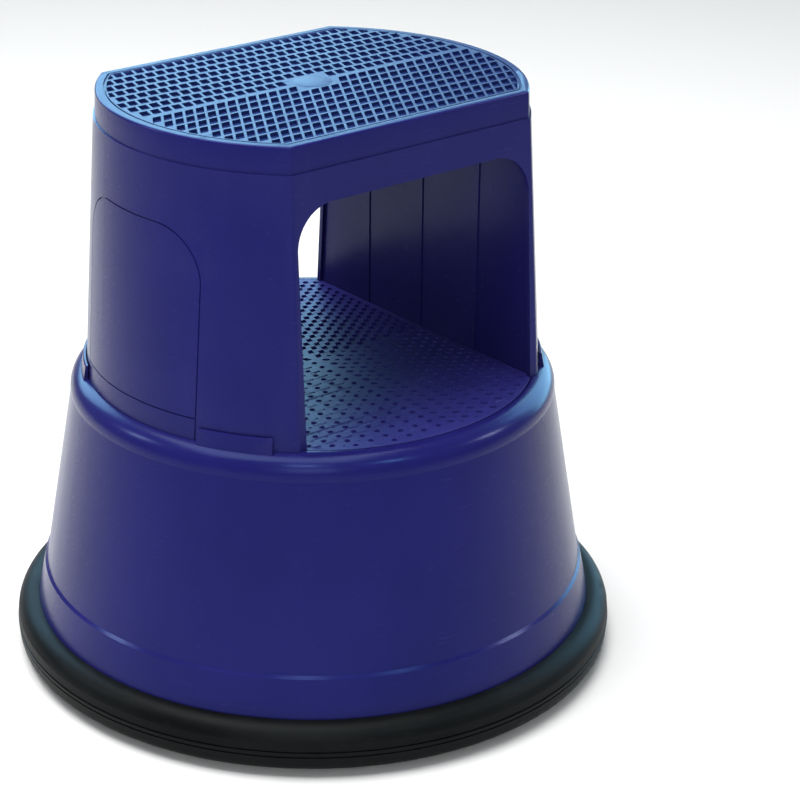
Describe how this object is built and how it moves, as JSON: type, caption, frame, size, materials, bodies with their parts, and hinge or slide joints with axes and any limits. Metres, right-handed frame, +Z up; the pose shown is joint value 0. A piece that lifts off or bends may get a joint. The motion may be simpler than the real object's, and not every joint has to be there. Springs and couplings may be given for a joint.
{
  "type": "kick step stool",
  "caption": "Round two-step kick stool with a drum base, black rubber bumper ring, step passage, textured treads and sprung swivel castors that retract under load.",
  "frame": {"origin": "on the floor at the centre of the round base, with the castors down", "axes": "+Z up; X along the straight edges of the top step; the step passage runs along Y and the front faces -Y"},
  "size_m": [0.4509, 0.451, 0.43],
  "materials": {
    "blue_plastic": "smooth moulded, semi-gloss",
    "tread_plastic": "moulded tread, satin",
    "bumper_rubber": "smooth black rubber, slight sheen",
    "chassis_plastic": "moulded, satin",
    "zinc_steel": "zinc plated",
    "spring_steel": "oiled spring wire",
    "wheel_plastic": "moulded grey",
    "tyre_rubber": "soft grey-black tread",
    "bush_plastic": "natural acetal"
  },
  "bodies": {
    "stool": {"lower_drum": "blue_plastic", "lower_tread": "tread_plastic", "foot_collars": "blue_plastic", "upper_shell": "blue_plastic", "inner_wall_left": "blue_plastic", "inner_wall_right": "blue_plastic", "top_cap": "tread_plastic", "bumper_ring": "bumper_rubber", "chassis_ring": "chassis_plastic", "chassis_screws": "zinc_steel", "leg_screws": "zinc_steel", "castor_bush_1": "bush_plastic", "castor_bush_2": "bush_plastic", "castor_bush_3": "bush_plastic"},
    "plunger_1": {"castor_plunger_1": "zinc_steel", "castor_clip_1": "spring_steel", "castor_spring_1": "spring_steel"},
    "fork_1": {"castor_fork_1": "zinc_steel", "castor_axle_1": "zinc_steel", "castor_nut_1": "zinc_steel", "castor_bearing_1": "bush_plastic"},
    "wheel_1": {"castor_wheel_1": "wheel_plastic", "castor_tyre_1": "tyre_rubber"},
    "plunger_2": {"castor_plunger_2": "zinc_steel", "castor_clip_2": "spring_steel", "castor_spring_2": "spring_steel"},
    "fork_2": {"castor_fork_2": "zinc_steel", "castor_axle_2": "zinc_steel", "castor_nut_2": "zinc_steel", "castor_bearing_2": "bush_plastic"},
    "wheel_2": {"castor_wheel_2": "wheel_plastic", "castor_tyre_2": "tyre_rubber"},
    "plunger_3": {"castor_plunger_3": "zinc_steel", "castor_clip_3": "spring_steel", "castor_spring_3": "spring_steel"},
    "fork_3": {"castor_fork_3": "zinc_steel", "castor_axle_3": "zinc_steel", "castor_nut_3": "zinc_steel", "castor_bearing_3": "bush_plastic"},
    "wheel_3": {"castor_wheel_3": "wheel_plastic", "castor_tyre_3": "tyre_rubber"}
  },
  "joints": [
    {"name": "castor_slide_1", "type": "slide", "parent": "stool", "child": "plunger_1", "axis": [0, 0, 1], "range_m": [0, 0.008], "stiffness_N_per_m": 2500, "springref_m": -0.012, "deforming": ["castor_spring_1"]},
    {"name": "castor_swivel_1", "type": "hinge", "parent": "plunger_1", "child": "fork_1", "pos_m": [0, 0.15, 0.0575], "axis": [0, 0, 1], "continuous": true},
    {"name": "castor_spin_1", "type": "hinge", "parent": "fork_1", "child": "wheel_1", "pos_m": [0.00616, 0.13309, 0.025], "axis": [-0.9397, -0.342, 0], "continuous": true},
    {"name": "castor_slide_2", "type": "slide", "parent": "stool", "child": "plunger_2", "axis": [0, 0, 1], "range_m": [0, 0.008], "stiffness_N_per_m": 2500, "springref_m": -0.012, "deforming": ["castor_spring_2"]},
    {"name": "castor_swivel_2", "type": "hinge", "parent": "plunger_2", "child": "fork_2", "pos_m": [-0.1299, -0.075, 0.0575], "axis": [0, 0, 1], "continuous": true},
    {"name": "castor_spin_2", "type": "hinge", "parent": "fork_2", "child": "wheel_2", "pos_m": [-0.11833, -0.06121, 0.025], "axis": [0.766, -0.6428, 0], "continuous": true},
    {"name": "castor_slide_3", "type": "slide", "parent": "stool", "child": "plunger_3", "axis": [0, 0, 1], "range_m": [0, 0.008], "stiffness_N_per_m": 2500, "springref_m": -0.012, "deforming": ["castor_spring_3"]},
    {"name": "castor_swivel_3", "type": "hinge", "parent": "plunger_3", "child": "fork_3", "pos_m": [0.1299, -0.075, 0.0575], "axis": [0, 0, 1], "continuous": true},
    {"name": "castor_spin_3", "type": "hinge", "parent": "fork_3", "child": "wheel_3", "pos_m": [0.11218, -0.07187, 0.025], "axis": [0.1736, 0.9848, 0], "continuous": true}
  ]
}
